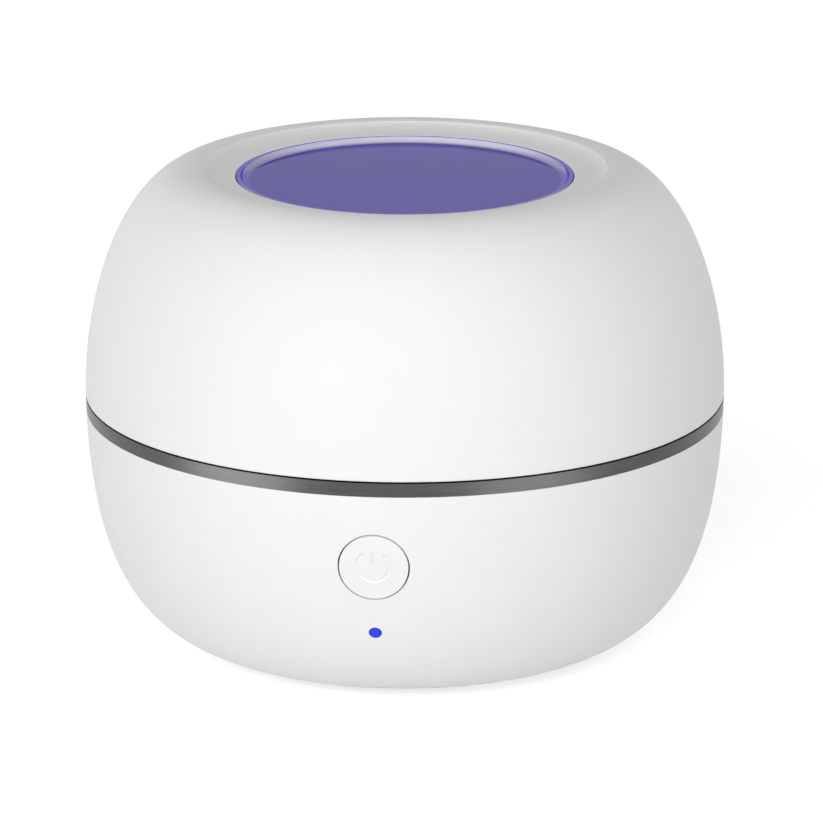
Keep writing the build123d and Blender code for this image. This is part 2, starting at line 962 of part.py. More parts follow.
def above_parting():
    """Everything above the parting line, with the rounding of the lid's lower edge."""
    reach = body_radius + tight_fit
    top = crest_height + overcut
    return turned(
        Polyline(point(0, top), point(0, lid_bottom), point(reach - lid_edge_radius, lid_bottom)),
        Bezier(
            point(reach - lid_edge_radius, lid_bottom),
            point(reach, lid_bottom),
            point(reach, lid_bottom + lid_edge_radius),
        ),
        Polyline(point(reach, lid_bottom + lid_edge_radius), point(reach, top), point(0, top)),
    )


def liner_screw_places():
    return around(lid_boss_circle, liner_screw_count, liner_screw_angle)


def magnet_boss(top):
    """Boss above the lid's magnet, with the rib that joins it to the front wall."""
    low = liner_underside + magnet_height
    reach = body_radius - catch_circle
    rib = Pos(0, -reach / 2, 0) * block(2 * catch_radius, reach, low, top)
    return catch_place() * (disc(catch_radius, low, top) + rib)


def lid_shell():
    """Domed upper half of the body with the dish, the window opening and the hinge."""
    body = body_form() & above_parting()
    cavity = body_form(shell_wall, shell_wall) & disc(everything, 0, crest_height)
    body = body - (cavity - window_land())
    body = body - dish()
    body = body - disc(window_radius + window_gap, 0, crest_height + overcut)
    inside = body_form(shell_wall / 2, shell_wall / 2)
    flange_top = liner_underside + liner_flange_thickness
    boss_top = flange_top + liner_boss_height
    boss = disc(liner_boss_radius, flange_top, boss_top)
    bosses = [place * boss for place in liner_screw_places()] + [magnet_boss(boss_top)]
    body = join(body, [piece & inside for piece in bosses])
    body = body + hinge_bed(lid_bottom, lid_bottom + notch_radius + bed_wall)
    body = body - hinge_notch()
    hole = disc(small_screw_radius + tight_fit, 0, liner_underside + small_screw_length + overcut)
    body = cut(body, [place * hole for place in liner_screw_places()])
    body = join(body, knuckles(1, 1))
    return body - across(hinge_pin_radius + pin_fit, everything)


def lens_hollow():
    """The shallow tray in the lens's top, swept up to its rim by a cove."""
    top = crest_height - dish_depth
    floor = top - lens_cove_depth
    rim = window_radius - lens_rim_width
    cove = Bezier(
        point(rim - lens_cove_width, floor),
        point(rim - lens_cove_width / 4, floor),
        point(rim, top - lens_cove_depth / 4),
        point(rim, top),
    )
    return turned(
        Polyline(point(0, crest_height), point(0, floor), point(rim - lens_cove_width, floor)),
        cove,
        Polyline(point(rim, top), point(rim, crest_height), point(0, crest_height)),
    )


def window_lens():
    """Violet window: a thick tray-shaped disc in the dish, with a flange clamped from inside."""
    top = crest_height - dish_depth
    lens = disc(window_radius, lens_seat - lens_flange_thickness, top)
    rim = lens.edges().filter_by(GeomType.CIRCLE).group_by(Axis.Z)[-1]
    lens = fillet(rim, lens_edge_radius) - lens_hollow()
    return lens + disc(window_radius + lens_flange_width, lens_seat - lens_flange_thickness, lens_seat)


def lid_liner():
    """Mirror-plated dome inside the lid, with a flange at the rim and a viewing hole."""
    dome = body_form(liner_side_inset, liner_top)
    dome = dome - body_form(liner_side_inset + liner_wall, liner_top + liner_wall)
    dome = dome & disc(everything, liner_underside, crest_height)
    dome_radius = body_radius - liner_side_inset
    flange_top = liner_underside + liner_flange_thickness
    flange = disc(flange_radius, liner_underside, flange_top)
    flange = flange - disc(dome_radius - liner_wall / 2, 0, crest_height)
    flange = flange - rear_gap(everything, rim_clear_front)
    liner = dome + flange - disc(viewing_radius, widest_height, crest_height)
    sink = disc(small_head_radius + screw_hole_gap, 0, liner_underside + small_head_height)
    hole = disc(small_screw_radius + screw_hole_gap, 0, flange_top + overcut)
    liner = cut(liner, [place * (sink + hole) for place in liner_screw_places()])
    return liner - catch_place() * disc(catch_radius + catch_gap, 0, flange_top + overcut)


def liner_screws():
    """Screws that hold the liner up to the lid's bosses."""
    piece = screw(small_head_radius, small_head_height, small_screw_radius, small_screw_length)
    return copies([Pos(0, 0, liner_underside) * place for place in liner_screw_places()], piece)


def rim_seal():
    """Soft lip under the liner's flange that closes the chamber."""
    outer = seal_radius + seal_width / 2
    inner = seal_radius - seal_width / 2
    seal = ring(outer, inner, rim_height + seal_clearance, liner_underside)
    low_edges = seal.edges().filter_by(GeomType.CIRCLE).group_by(Axis.Z)[0]
    return fillet(low_edges, seal_width * seal_lip_share)


def lid_magnet():
    """Disc magnet in the front of the lid's rim."""
    return catch_place() * disc(catch_radius, liner_underside, liner_underside + magnet_height)


# Rack

def pacifier_rack():
    """Lift-out grid that holds the pacifiers above the lamps."""
    outer = rack_seat_radius + rack_seat_width - rack_gap
    inner = outer - rack_ring_width
    low = rack_seat + rack_gap
    high = low + rack_thickness
    rack = ring(outer, inner, low, high)
    pitch = 2 * inner / (rack_bar_count + 1)
    bars = []
    for index in range(rack_bar_count):
        middle = Pos((index - (rack_bar_count - 1) / 2) * pitch, 0, 0)
        bar = middle * block(rack_bar_width, 2 * outer, low, high)
        bars.append(bar & disc(outer - rack_ring_width / 2, low, high))
    return join(rack, bars)


def write_parts():
    """Write one file for each piece, named as its node."""
    pieces = {
        "base_shell": base_shell(),
        "trim_band": trim_band(),
        "bottom_cover": bottom_cover(),
        "foot_ring": foot_ring(),
        "cover_screws": cover_screws(),
        "chamber_bowl": chamber_bowl(),
        "latch_plate": latch_plate(),
        "quartz_window": quartz_window(),
        "lamp_board": lamp_board(),
        "lamp_board_screws": lamp_board_screws(),
        "ultraviolet_lamps": lamps(ultraviolet_lamp_angle),
        "violet_lamps": lamps(violet_lamp_angle),
        "board_link": board_link(),
        "main_board": main_board(),
        "main_board_screws": main_board_screws(),
        "control_chip": control_chip(),
        "boost_inductor": boost_inductor(),
        "chip_parts": chip_parts(),
        "port_shell": port_shell(),
        "port_tongue": port_tongue(),
        "battery_cell": battery_cell(),
        "battery_pad": battery_pad(),
        "battery_socket": battery_socket(),
        "battery_leads": battery_leads(),
        "button_board": button_board(),
        "button_board_screws": button_board_screws(),
        "tact_switch": tact_switch(),
        "status_lamp": status_lamp(),
        "lid_sensor": lid_sensor(),
        "light_pipe": light_pipe(),
        "button_ribbon": button_ribbon(),
        "hinge_pin": hinge_pin(),
        "lid_shell": lid_shell(),
        "window_lens": window_lens(),
        "lid_liner": lid_liner(),
        "liner_screws": liner_screws(),
        "rim_seal": rim_seal(),
        "lid_magnet": lid_magnet(),
        "power_button": button_cap(),
        "switch_plunger": switch_plunger(),
        "pacifier_rack": pacifier_rack(),
    }
    os.makedirs("parts", exist_ok=True)
    for name, piece in pieces.items():
        export_step(piece, os.path.join("parts", name + ".step"))


write_parts()
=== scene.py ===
# %% [markdown]
# # A pocket steriliser for pacifiers
# The real object is a round white body about as big as an apple: a base with lamps under a
# mirror-plated bowl, and a domed lid with a violet window. The engineering model is loaded first
# and stays fixed, and every Blender piece is made in the same place and at the same size.

# %% Load the engineering model
import bpy
import json
import math
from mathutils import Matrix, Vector

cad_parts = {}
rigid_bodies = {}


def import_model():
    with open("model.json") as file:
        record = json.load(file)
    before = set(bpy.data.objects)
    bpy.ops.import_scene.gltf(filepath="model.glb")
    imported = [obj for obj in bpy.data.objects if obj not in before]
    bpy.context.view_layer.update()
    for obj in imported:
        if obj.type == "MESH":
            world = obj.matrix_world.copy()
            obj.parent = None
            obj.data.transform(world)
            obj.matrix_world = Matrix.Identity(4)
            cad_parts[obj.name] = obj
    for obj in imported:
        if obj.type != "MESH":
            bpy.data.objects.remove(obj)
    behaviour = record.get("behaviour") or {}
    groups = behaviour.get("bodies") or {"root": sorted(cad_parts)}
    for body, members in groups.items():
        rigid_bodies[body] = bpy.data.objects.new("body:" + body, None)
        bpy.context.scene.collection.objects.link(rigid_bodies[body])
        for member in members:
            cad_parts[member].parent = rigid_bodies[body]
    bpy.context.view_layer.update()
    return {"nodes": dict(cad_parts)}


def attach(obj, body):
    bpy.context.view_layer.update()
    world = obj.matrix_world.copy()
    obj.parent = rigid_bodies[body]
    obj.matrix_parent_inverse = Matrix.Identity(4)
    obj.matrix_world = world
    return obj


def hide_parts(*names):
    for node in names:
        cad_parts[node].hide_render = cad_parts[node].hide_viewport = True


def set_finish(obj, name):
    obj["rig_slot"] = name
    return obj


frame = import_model()
mm = 0.001

# %% [markdown]
# ## Where the camera stands
# The photograph looks down on the body a little, from slightly to its right, through a long lens,
# so that upright lines stay almost parallel. The camera is placed by its distance, its height
# angle and its turn about the body. These were measured on the outline in the photograph, because
# a camera set by eye would be doubtful.

# %% Camera
distance = 622.77 * mm
tilt = math.radians(16.652)
turn = math.radians(5.344)
aim_height = 31.81 * mm
aim_side = 0.927 * mm
lens_length = 192.39
film_width = 36
aim = Vector((aim_side * math.cos(turn), aim_side * math.sin(turn), aim_height))
view = Vector((
    -math.cos(tilt) * math.sin(turn),
    math.cos(tilt) * math.cos(turn),
    -math.sin(tilt),
))
bpy.ops.object.select_all(action="DESELECT")
bpy.ops.object.camera_add(location=aim - view * distance)
camera = bpy.context.object
camera.rotation_euler = view.to_track_quat("-Z", "Y").to_euler()
camera.data.lens = lens_length
camera.data.sensor_width = film_width
camera.data.clip_start = 0.01
camera.data.clip_end = 20
bpy.context.scene.camera = camera
bpy.context.scene.view_settings.view_transform = "Standard"
print("camera at", [round(v, 4) for v in camera.location])

# %% [markdown]
# ## Helpers for materials
# Every material below is a small net of shader nodes. One helper adds a node with its settings and
# the values of its sockets, one joins two sockets, and one starts a finish, so that the cells stay
# short and each line says one thing about the finish.

# %% Helpers for shader nodes
def add(material, kind, settings=None, **sockets):
    """Adds a shader node, with its settings and the values of its sockets."""
    node = material.node_tree.nodes.new("ShaderNode" + kind)
    for name, value in (settings or {}).items():
        setattr(node, name, value)
    for name, value in sockets.items():
        node.inputs[name.replace("_", " ")].default_value = value
    return node


def join(material, source, target):
    """Joins an output socket to an input socket."""
    material.node_tree.links.new(source, target)


def new_finish(name):
    """A new material and its main shader."""
    material = bpy.data.materials.new(name)
    material.use_nodes = True
    return material, material.node_tree.nodes["Principled BSDF"]


print("helpers: add, join, new_finish")

# %% [markdown]
# ## Floor, backdrop and light
# The photograph has a plain white ground. The floor is a wide sheet of paper that keeps the body's
# shadow. More lamps would whiten the paper, but they would burn out the body first. So the paper
# glows a little, only to the camera, in reflections and through clear pieces, and the ground is
# white by its own colour. The glow grows with the distance from the body, because the lamps reach
# the far paper less. The air round it all is a weak, even light on the body, and plain white to
# the same rays.

# %% Rays that see the ground
def seen_ray(material):
    """One where a ray comes from the camera, a reflection or glass, and nought elsewhere."""
    path = add(material, "LightPath")
    direct = add(material, "Math", {"operation": "MAXIMUM"})
    join(material, path.outputs["Is Camera Ray"], direct.inputs[0])
    join(material, path.outputs["Is Glossy Ray"], direct.inputs[1])
    every = add(material, "Math", {"operation": "MAXIMUM"})
    join(material, direct.outputs[0], every.inputs[0])
    join(material, path.outputs["Is Transmission Ray"], every.inputs[1])
    return every.outputs[0]


print("helper: seen_ray")

# %% Floor sheet
floor_radius = 4.0
floor_corners = 96
bpy.ops.object.select_all(action="DESELECT")
bpy.ops.mesh.primitive_circle_add(
    radius=floor_radius, vertices=floor_corners, fill_type="NGON", location=(0, 0, 0)
)
floor = bpy.context.object
floor.name = "floor"
print("floor radius", floor_radius, "m")

# %% Floor paper
paper_tone = 0.86
near_glow = 0.6
far_glow = 1.0
near_reach = 0.6
far_reach = 1.6
floor_paper = bpy.data.materials.new("floor_paper")
floor_paper.use_nodes = True
floor_paper.node_tree.nodes.clear()
paper = add(floor_paper, "BsdfDiffuse", Color=(paper_tone, paper_tone, paper_tone, 1))
glow = add(floor_paper, "Emission", Color=(1, 1, 1, 1))
paper_place = add(floor_paper, "TexCoord")
paper_reach = add(floor_paper, "VectorMath", {"operation": "LENGTH"})
glow_strength = add(
    floor_paper, "MapRange",
    From_Min=near_reach, From_Max=far_reach, To_Min=near_glow, To_Max=far_glow,
)
lit_paper = add(floor_paper, "AddShader")
paper_choice = add(floor_paper, "MixShader")
paper_out = add(floor_paper, "OutputMaterial")
join(floor_paper, paper_place.outputs["Object"], paper_reach.inputs[0])
join(floor_paper, paper_reach.outputs["Value"], glow_strength.inputs["Value"])
join(floor_paper, glow_strength.outputs["Result"], glow.inputs["Strength"])
join(floor_paper, paper.outputs[0], lit_paper.inputs[0])
join(floor_paper, glow.outputs[0], lit_paper.inputs[1])
join(floor_paper, seen_ray(floor_paper), paper_choice.inputs["Fac"])
join(floor_paper, paper.outputs[0], paper_choice.inputs[1])
join(floor_paper, lit_paper.outputs[0], paper_choice.inputs[2])
join(floor_paper, paper_choice.outputs[0], paper_out.inputs["Surface"])
floor.data.materials.append(floor_paper)
print("paper tone", paper_tone, "glow", near_glow, "to", far_glow)

# %% Studio air
ambient = 0.25
ground_white = 1.0
studio = bpy.data.worlds.new("studio")
bpy.context.scene.world = studio
studio.use_nodes = True
studio.node_tree.nodes.clear()
soft_air = add(studio, "Background", Color=(1, 1, 1, 1), Strength=ambient)
white_ground = add(studio, "Background", Color=(1, 1, 1, 1), Strength=ground_white)
air_choice = add(studio, "MixShader")
air_out = add(studio, "OutputWorld")
join(studio, seen_ray(studio), air_choice.inputs["Fac"])
join(studio, soft_air.outputs[0], air_choice.inputs[1])
join(studio, white_ground.outputs[0], air_choice.inputs[2])
join(studio, air_choice.outputs[0], air_out.inputs["Surface"])
print("ambient", ambient)

# %% [markdown]
# ## Softboxes
# The body is brightest to the left of its middle and darkest at its right edge, and its top is
# greyer than its front, so the light comes from the front. One softbox stands high near the
# camera, and two low ones stand to its sides. Two weak ones behind the body keep its back from
# going dark in the other views. Wide lamps are used and not points, because the photograph has no
# hard edge of light anywhere.

# %% Softboxes
lamp_aim_height = 35 * mm
softbox_gap = 0.9
softbox_width = 0.6


def softbox(name, side, height, power, gap=softbox_gap, width=softbox_width):
    """A square lamp that looks at the body from an angle to the side and an angle up."""
    turned_by = turn + math.radians(side)
    up = math.radians(height)
    away = Vector((
        math.cos(up) * math.sin(turned_by),
        -math.cos(up) * math.cos(turned_by),
        math.sin(up),
    ))
    place = away * gap + Vector((0, 0, lamp_aim_height))
    bpy.ops.object.light_add(type="AREA", location=place)
    lamp = bpy.context.object
    lamp.name = name
    lamp.rotation_euler = (-away).to_track_quat("-Z", "Y").to_euler()
    lamp.data.shape = "SQUARE"
    lamp.data.size = width
    lamp.data.energy = power
    return lamp


softboxes = [
    softbox("front_softbox", side=-15, height=30, power=3.58),
    softbox("left_softbox", side=-55, height=5, power=2.6),
    softbox("right_softbox", side=40, height=5, power=2.8),
    softbox("back_left_softbox", side=-140, height=10, power=1.2),
    softbox("back_right_softbox", side=140, height=10, power=1.2),
]
print("softboxes", len(softboxes))

# %% [markdown]
# ## Two reflector cards
# The band is upright metal seen from above, so it mirrors the floor close in front of it and never
# the softboxes. A photographer stands small bright cards there, out of the picture, to put soft
# streaks on such a trim. Here each card is a small lamp that only reflections see.

# %% Reflector cards
card_gap = 115 * mm
card_width = 70 * mm
card_tallness = 30 * mm
card_height = 15 * mm


def reflector_card(name, side, power):
    """A small bright card that stands near the body and shows only in its reflections."""
    card = softbox(name, side, height=0, power=power, gap=card_gap, width=card_width)
    card.location.z = card_height
    card.data.shape = "RECTANGLE"
    card.data.size_y = card_tallness
    card.visible_diffuse = False
    card.visible_camera = False
    return card


cards = [
    reflector_card("left_card", side=-51, power=0.021),
    reflector_card("right_card", side=37, power=0.0125),
]
print("cards", len(cards))

# %% [markdown]
# ## Copies that can be worked on
# The engineering nodes stay as they are. Where a piece needs finer work, such as a sign or a screw
# drive, a copy is made, and its loose triangles are merged into one closed skin first. A cutting
# tool is then a mesh of its own, taken out of the copy with a boolean, as a mill would do it.

# %% Helpers for copies
weld_distance = 0.002 * mm


def only(piece):
    """Leaves one object selected and active."""
    bpy.ops.object.select_all(action="DESELECT")
    piece.select_set(True)
    bpy.context.view_layer.objects.active = piece


def merged_copy(node_name, piece_name):
    """A copy of an engineering node, with its triangles joined into one clean skin."""
    only(frame["nodes"][node_name])
    bpy.ops.object.duplicate()
    piece = bpy.context.object
    piece.name = piece_name
    bpy.ops.object.parent_clear(type="CLEAR_KEEP_TRANSFORM")
    bpy.ops.mesh.customdata_custom_splitnormals_clear()
    bpy.ops.object.mode_set(mode="EDIT")
    bpy.ops.mesh.select_all(action="SELECT")
    bpy.ops.mesh.remove_doubles(threshold=weld_distance)
    bpy.ops.object.mode_set(mode="OBJECT")
    return piece


print("helpers: only, merged_copy")

# %% Helpers for cuts and edges
spare_edge_angle = math.radians(0.3)
sharp_edge_angle = math.radians(60)
smooth_angle = math.radians(32)


def cut_away(piece, tools):
    """Takes each tool's shape out of the piece and removes the tool."""
    for tool in tools:
        cut = piece.modifiers.new("cut", "BOOLEAN")
        cut.operation = "DIFFERENCE"
        cut.solver = "EXACT"
        cut.object = tool
        only(piece)
        bpy.ops.object.modifier_apply(modifier=cut.name)
        bpy.data.objects.remove(tool)
    print(piece.name, "faces", len(piece.data.polygons))


def break_edges(piece, width):
    """Clears the flat faces of spare edges, and rounds the sharp edges by a small width."""
    only(piece)
    bpy.ops.object.mode_set(mode="EDIT")
    bpy.ops.mesh.select_all(action="SELECT")
    bpy.ops.mesh.dissolve_limited(angle_limit=spare_edge_angle)
    bpy.ops.mesh.select_mode(type="EDGE")
    bpy.ops.mesh.select_all(action="DESELECT")
    bpy.ops.mesh.edges_select_sharp(sharpness=sharp_edge_angle)
    bpy.ops.mesh.bevel(offset=width, segments=2, clamp_overlap=True)
    bpy.ops.mesh.select_mode(type="VERT")
    bpy.ops.object.mode_set(mode="OBJECT")


def shade(piece):
    """Shades the soft bends smooth and leaves the sharp ones crisp."""
    only(piece)
    bpy.ops.object.shade_smooth_by_angle(angle=smooth_angle)


print("helpers: cut_away, break_edges, shade")

# %% [markdown]
# ## The power button's sign
# The sign is sunk a third of a millimetre into the button's face, as a ball-nosed cutter leaves
# it in a mould: a round groove with round ends. A drawn sign would stay flat from the side, so it
# is really cut. The cutter's path is a ring with a gap at its top, and a short upright bar from
# the ring's middle up into the gap. The ring is a small circle spun about the sign's middle, the
# bar is a rod, and a ball stands at each end. All are placed on the button's own leaning plane.

# %% The button's plane
button_lean = math.radians(7.81)
button_middle = Vector((0, -44.2195, 23.3)) * mm
across_skin = Vector((1, 0, 0))
out_of_skin = Vector((0, -math.cos(button_lean), -math.sin(button_lean)))
up_the_skin = Vector((0, -math.sin(button_lean), math.cos(button_lean)))
cutter_radius = 0.33 * mm
groove_depth = 0.34 * mm
sign_rise = 0.19 * mm
cutter_lift = cutter_radius - groove_depth
sign_middle = button_middle + up_the_skin * sign_rise + out_of_skin * cutter_lift
print("sign middle", [round(v / mm, 2) for v in sign_middle])

# %% Cutter balls and rods
cutter_sides = 24


def sign_point(across, up):
    """A point of the sign, across and up from its middle."""
    return sign_middle + across_skin * across + up_the_skin * up


def cutter_ball(place):
    """The round end of a groove."""
    bpy.ops.object.select_all(action="DESELECT")
    bpy.ops.mesh.primitive_uv_sphere_add(
        radius=cutter_radius,
        segments=cutter_sides,
        ring_count=cutter_sides // 2,
        location=place,
    )
    return bpy.context.object


def cutter_rod(start, end):
    """A straight groove between two points."""
    bpy.ops.object.select_all(action="DESELECT")
    along = end - start
    bpy.ops.mesh.primitive_cylinder_add(
        radius=cutter_radius,
        depth=along.length,
        vertices=cutter_sides,
        location=(start + end) / 2,
        rotation=along.to_track_quat("Z", "Y").to_euler(),
    )
    return bpy.context.object


print("helpers: sign_point, cutter_ball, cutter_rod")

# %% Cutter ring
ring_steps = 56


def cutter_ring(radius, gap):
    """A groove round the sign's middle, open by the gap angle on each side of its top."""
    bpy.ops.object.select_all(action="DESELECT")
    start = sign_point(radius * math.sin(gap), radius * math.cos(gap))
    heading = across_skin * math.cos(gap) - up_the_skin * math.sin(gap)
    bpy.ops.mesh.primitive_circle_add(
        radius=cutter_radius,
        vertices=cutter_sides,
        location=start,
        rotation=heading.to_track_quat("Z", "Y").to_euler(),
    )
    ring = bpy.context.object
    sweep = 2 * math.pi - 2 * gap
    bpy.ops.object.mode_set(mode="EDIT")
    bpy.ops.mesh.select_all(action="SELECT")
    bpy.ops.mesh.spin(steps=ring_steps, angle=sweep, center=sign_middle, axis=out_of_skin)
    bpy.ops.mesh.select_all(action="DESELECT")
    bpy.ops.mesh.select_non_manifold()
    bpy.ops.mesh.fill_holes(sides=0)
    bpy.ops.mesh.select_all(action="SELECT")
    bpy.ops.mesh.normals_make_consistent(inside=False)
    bpy.ops.object.mode_set(mode="OBJECT")
    return ring


print("helper: cutter_ring")

# %% Sink the sign
sign_radius = 2.18 * mm
sign_gap = math.radians(46)
bar_low = -0.05 * mm
bar_high = 1.76 * mm
ring_end = sign_radius * math.sin(sign_gap)
ring_top = sign_radius * math.cos(sign_gap)
power_cap = merged_copy("power_button", "power_cap")
cut_away(power_cap, [
    cutter_ring(sign_radius, sign_gap),
    cutter_ball(sign_point(ring_end, ring_top)),
    cutter_ball(sign_point(-ring_end, ring_top)),
    cutter_rod(sign_point(0, bar_low), sign_point(0, bar_high)),
    cutter_ball(sign_point(0, bar_low)),
    cutter_ball(sign_point(0, bar_high)),
])
shade(power_cap)
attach(power_cap, "button")
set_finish(power_cap, "white_shell")
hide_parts("power_button")

# %% [markdown]
# ## Screw drives
# Each screw has a cross drive pressed into its head. The cross is one small block whose four sides
# are drawn out, and whose foot is drawn in, because a real drive narrows as it goes down. One
# cross is modelled for each set of screws, and a copy of it is sunk in every head. The heads' rims
# are eased first, since a turned edge is never quite sharp.

# %% The cross tool
foot_share = 0.55


def cross_tool(arm_width, arm_length, depth):
    """A cross, half above height nought and half below it, with its foot drawn in."""
    bpy.ops.object.select_all(action="DESELECT")
    bpy.ops.mesh.primitive_cube_add(
        size=1, location=(0, 0, 0), scale=(arm_width, arm_width, 2 * depth)
    )
    cross = bpy.context.object
    bpy.ops.object.transform_apply(location=False, rotation=False, scale=True)
    bpy.ops.object.mode_set(mode="EDIT")
    bpy.ops.mesh.select_mode(type="FACE")
    bpy.ops.mesh.select_all(action="DESELECT")
    bpy.ops.object.mode_set(mode="OBJECT")
    for face in cross.data.polygons:
        face.select = abs(face.normal.z) < 0.5
    arm_reach = (arm_length - arm_width) / 2
    bpy.ops.object.mode_set(mode="EDIT")
    bpy.ops.mesh.extrude_faces_move(TRANSFORM_OT_shrink_fatten={"value": arm_reach})
    bpy.ops.mesh.select_mode(type="VERT")
    bpy.ops.mesh.select_all(action="DESELECT")
    bpy.ops.object.mode_set(mode="OBJECT")
    for point in cross.data.vertices:
        point.select = point.co.z < 0
    bpy.ops.object.mode_set(mode="EDIT")
    bpy.ops.transform.resize(value=(foot_share, foot_share, 1), center_override=(0, 0, 0))
    bpy.ops.mesh.select_all(action="SELECT")
    bpy.ops.mesh.normals_make_consistent(inside=False)
    bpy.ops.object.mode_set(mode="OBJECT")
    reach = [max(abs(point.co[axis]) for point in cross.data.vertices) for axis in range(3)]
    print("cross reaches", [round(v / mm, 2) for v in reach])
    return cross


print("helper: cross_tool")

# %% Find the heads
def shapes_in(piece):
    """The lowest and the highest corner of each separate solid of a piece."""
    only(piece)
    bpy.ops.object.duplicate()
    bpy.ops.mesh.separate(type="LOOSE")
    shapes = list(bpy.context.selected_objects)
    boxes = []
    for shape in shapes:
        corners = [Vector(corner) for corner in shape.bound_box]
        boxes.append((corners[0], corners[6]))
    for shape in shapes:
        bpy.data.objects.remove(shape)
    return boxes


print("helper: shapes_in")

# %% Sink the drives
edge_ease = 0.08 * mm
drive_turn = 0.4
large_cross = {"arm_width": 0.5 * mm, "arm_length": 2.1 * mm, "depth": 0.7 * mm}
small_cross = {"arm_width": 0.38 * mm, "arm_length": 1.6 * mm, "depth": 0.5 * mm}
heads_up = 1
heads_down = -1


def sink_drives(node_name, piece_name, body, cross_size, facing):
    """A copy of a node of screws, with eased edges and a cross sunk in each head."""
    piece = merged_copy(node_name, piece_name)
    break_edges(piece, edge_ease)
    heads = shapes_in(piece)
    cross = cross_tool(**cross_size)
    tools = []
    for low, high in heads:
        middle = (low + high) / 2
        only(cross)
        bpy.ops.object.duplicate()
        tool = bpy.context.object
        tool.rotation_euler = (0 if facing == heads_up else math.pi, 0, drive_turn)
        tool.location = (middle.x, middle.y, high.z if facing == heads_up else low.z)
        tools.append(tool)
    bpy.data.objects.remove(cross)
    cut_away(piece, tools)
    shade(piece)
    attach(piece, body)
    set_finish(piece, "steel")
    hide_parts(node_name)
    return piece


screw_sets = [
    sink_drives("cover_screws", "cover_screw_set", "base", large_cross, heads_down),
    sink_drives("liner_screws", "liner_screw_set", "lid", small_cross, heads_down),
    sink_drives("main_board_screws", "board_screw_set", "base", large_cross, heads_up),
]
print("screw sets", len(screw_sets))

# %% [markdown]
# ## Moulded and plated finishes
# Most pieces are plain mouldings or plated parts, and what tells them apart is small: how glossy
# they are, a faint cloud in the colour, and a fine grain. One maker covers them all, and each
# finish then only gives its own numbers. The pattern is laid on the piece's own coordinates, so it
# stays with the piece. The finishes that need more follow in cells of their own.

# %% Helper for plain finishes
ramp_low = 0.3
ramp_high = 0.7
gloss_spread = 0.12
grain_height = 0.02 * mm


def moulded(name, colour, rough, metal=0.0, spread=0.02, cloud_size=4.0, grain=0.0,
            grain_size=0.35, **more):
    """A finish with a soft colour cloud, uneven gloss and a fine grain. Sizes are in mm."""
    material, base = new_finish(name)
    base.inputs["Metallic"].default_value = metal
    for key, value in more.items():
        base.inputs[key.replace("_", " ")].default_value = value
    place = add(material, "TexCoord")
    cloud = add(material, "TexNoise", Scale=1 / (cloud_size * mm), Detail=3)
    tone = add(material, "ValToRGB")
    dark, light = tone.color_ramp.elements
    dark.position = ramp_low
    light.position = ramp_high
    dark.color = (*[c * (1 - spread) for c in colour], 1)
    light.color = (*[min(1, c * (1 + spread)) for c in colour], 1)
    gloss = add(
        material, "MapRange",
        To_Min=rough * (1 - gloss_spread), To_Max=min(1, rough * (1 + gloss_spread)),
    )
    join(material, place.outputs["Object"], cloud.inputs["Vector"])
    join(material, cloud.outputs["Fac"], tone.inputs["Fac"])
    join(material, tone.outputs["Color"], base.inputs["Base Color"])
    join(material, cloud.outputs["Fac"], gloss.inputs["Value"])
    join(material, gloss.outputs["Result"], base.inputs["Roughness"])
    if grain:
        speckle = add(material, "TexNoise", Scale=1 / (grain_size * mm), Detail=2)
        relief = add(material, "Bump", Strength=grain, Distance=grain_height)
        join(material, place.outputs["Object"], speckle.inputs["Vector"])
        join(material, speckle.outputs["Fac"], relief.inputs["Height"])
        join(material, relief.outputs["Normal"], base.inputs["Normal"])
    return material


print("helper: moulded")

# %% Plain finishes
plain_looks = {
    "white_shell": dict(colour=(0.88, 0.88, 0.88), rough=0.58, spread=0.004, cloud_size=9,
                        grain=0.05, Specular_IOR_Level=0.22),
    "mirror_plating": dict(colour=(0.8, 0.8, 0.82), rough=0.1, metal=1, cloud_size=6, grain=0.02),
    "soft_seal": dict(colour=(0.6, 0.6, 0.61), rough=0.6, spread=0.03, cloud_size=2, grain=0.12),
    "rack_plastic": dict(colour=(0.82, 0.82, 0.82), rough=0.38, cloud_size=3, grain=0.1),
    "magnet_plating": dict(colour=(0.66, 0.64, 0.6), rough=0.22, metal=1, spread=0.05,
                           cloud_size=1),
    "lamp_clear": dict(colour=(0.85, 0.86, 0.8), rough=0.15, cloud_size=1),
    "lamp_violet": dict(colour=(0.36, 0.22, 0.75), rough=0.15, spread=0.05, cloud_size=1),
    "black_part": dict(colour=(0.02, 0.02, 0.022), rough=0.45, spread=0.1, cloud_size=1,
                       grain=0.2),
    "small_part": dict(colour=(0.5, 0.42, 0.3), rough=0.45, spread=0.15, cloud_size=1),
    "cell_foil": dict(colour=(0.6, 0.6, 0.63), rough=0.32, metal=0.9, grain=0.6, grain_size=1.5),
    "foam": dict(colour=(0.05, 0.05, 0.055), rough=0.9, spread=0.3, cloud_size=0.5, grain=0.8,
                 grain_size=0.25),
    "lead_cover": dict(colour=(0.5, 0.03, 0.03), rough=0.4, spread=0.05, cloud_size=2),
    "plunger": dict(colour=(0.75, 0.75, 0.72), rough=0.45, cloud_size=1, grain=0.05),
}
finishes = {name: moulded(name, **look) for name, look in plain_looks.items()}
print("plain finishes", len(finishes))

# %% [markdown]
# ## Drawn metal
# The band is a thin ring of dark plated metal, drawn round and round when it was polished. A noise
# squeezed along the upright direction gives fine lines that run round the ring. The gloss is
# drawn out along them too, and so it spreads the two cards sideways into the soft streaks that
# the photograph shows. The screws, the pin and the other steel parts have the same lines, in a
# lighter metal.

# %% Helper for drawn metal
line_ramp_low = 0.25
line_ramp_high = 0.75
line_tone_spread = 0.15
line_gloss_spread = 0.2
line_height = 0.01 * mm


